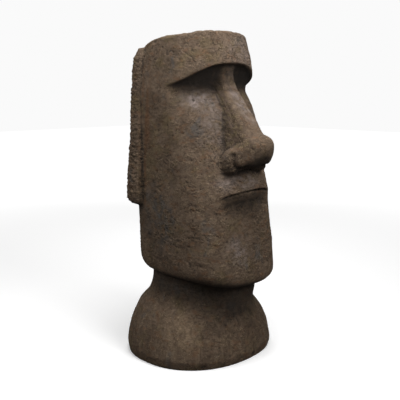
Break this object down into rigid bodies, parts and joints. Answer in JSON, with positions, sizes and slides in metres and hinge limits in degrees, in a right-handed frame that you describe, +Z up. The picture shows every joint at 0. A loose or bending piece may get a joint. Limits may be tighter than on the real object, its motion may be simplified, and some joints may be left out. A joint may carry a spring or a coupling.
{
  "type": "moai head statue",
  "caption": "Free-standing moai head with a heavy brow, long nose, thin lips and long ears, on a short neck that flares into a round foot.",
  "frame": {"origin": "middle of the flat underside", "axes": "+Z up through the head, -Y the way the face looks, +X to the right of someone looking at the face"},
  "size_m": [0.886, 0.907, 1.848],
  "materials": {
    "cast_stone": "matte, weathered, cast"
  },
  "bodies": {
    "root": {"moai_head_statue": "cast_stone"}
  },
  "joints": []
}
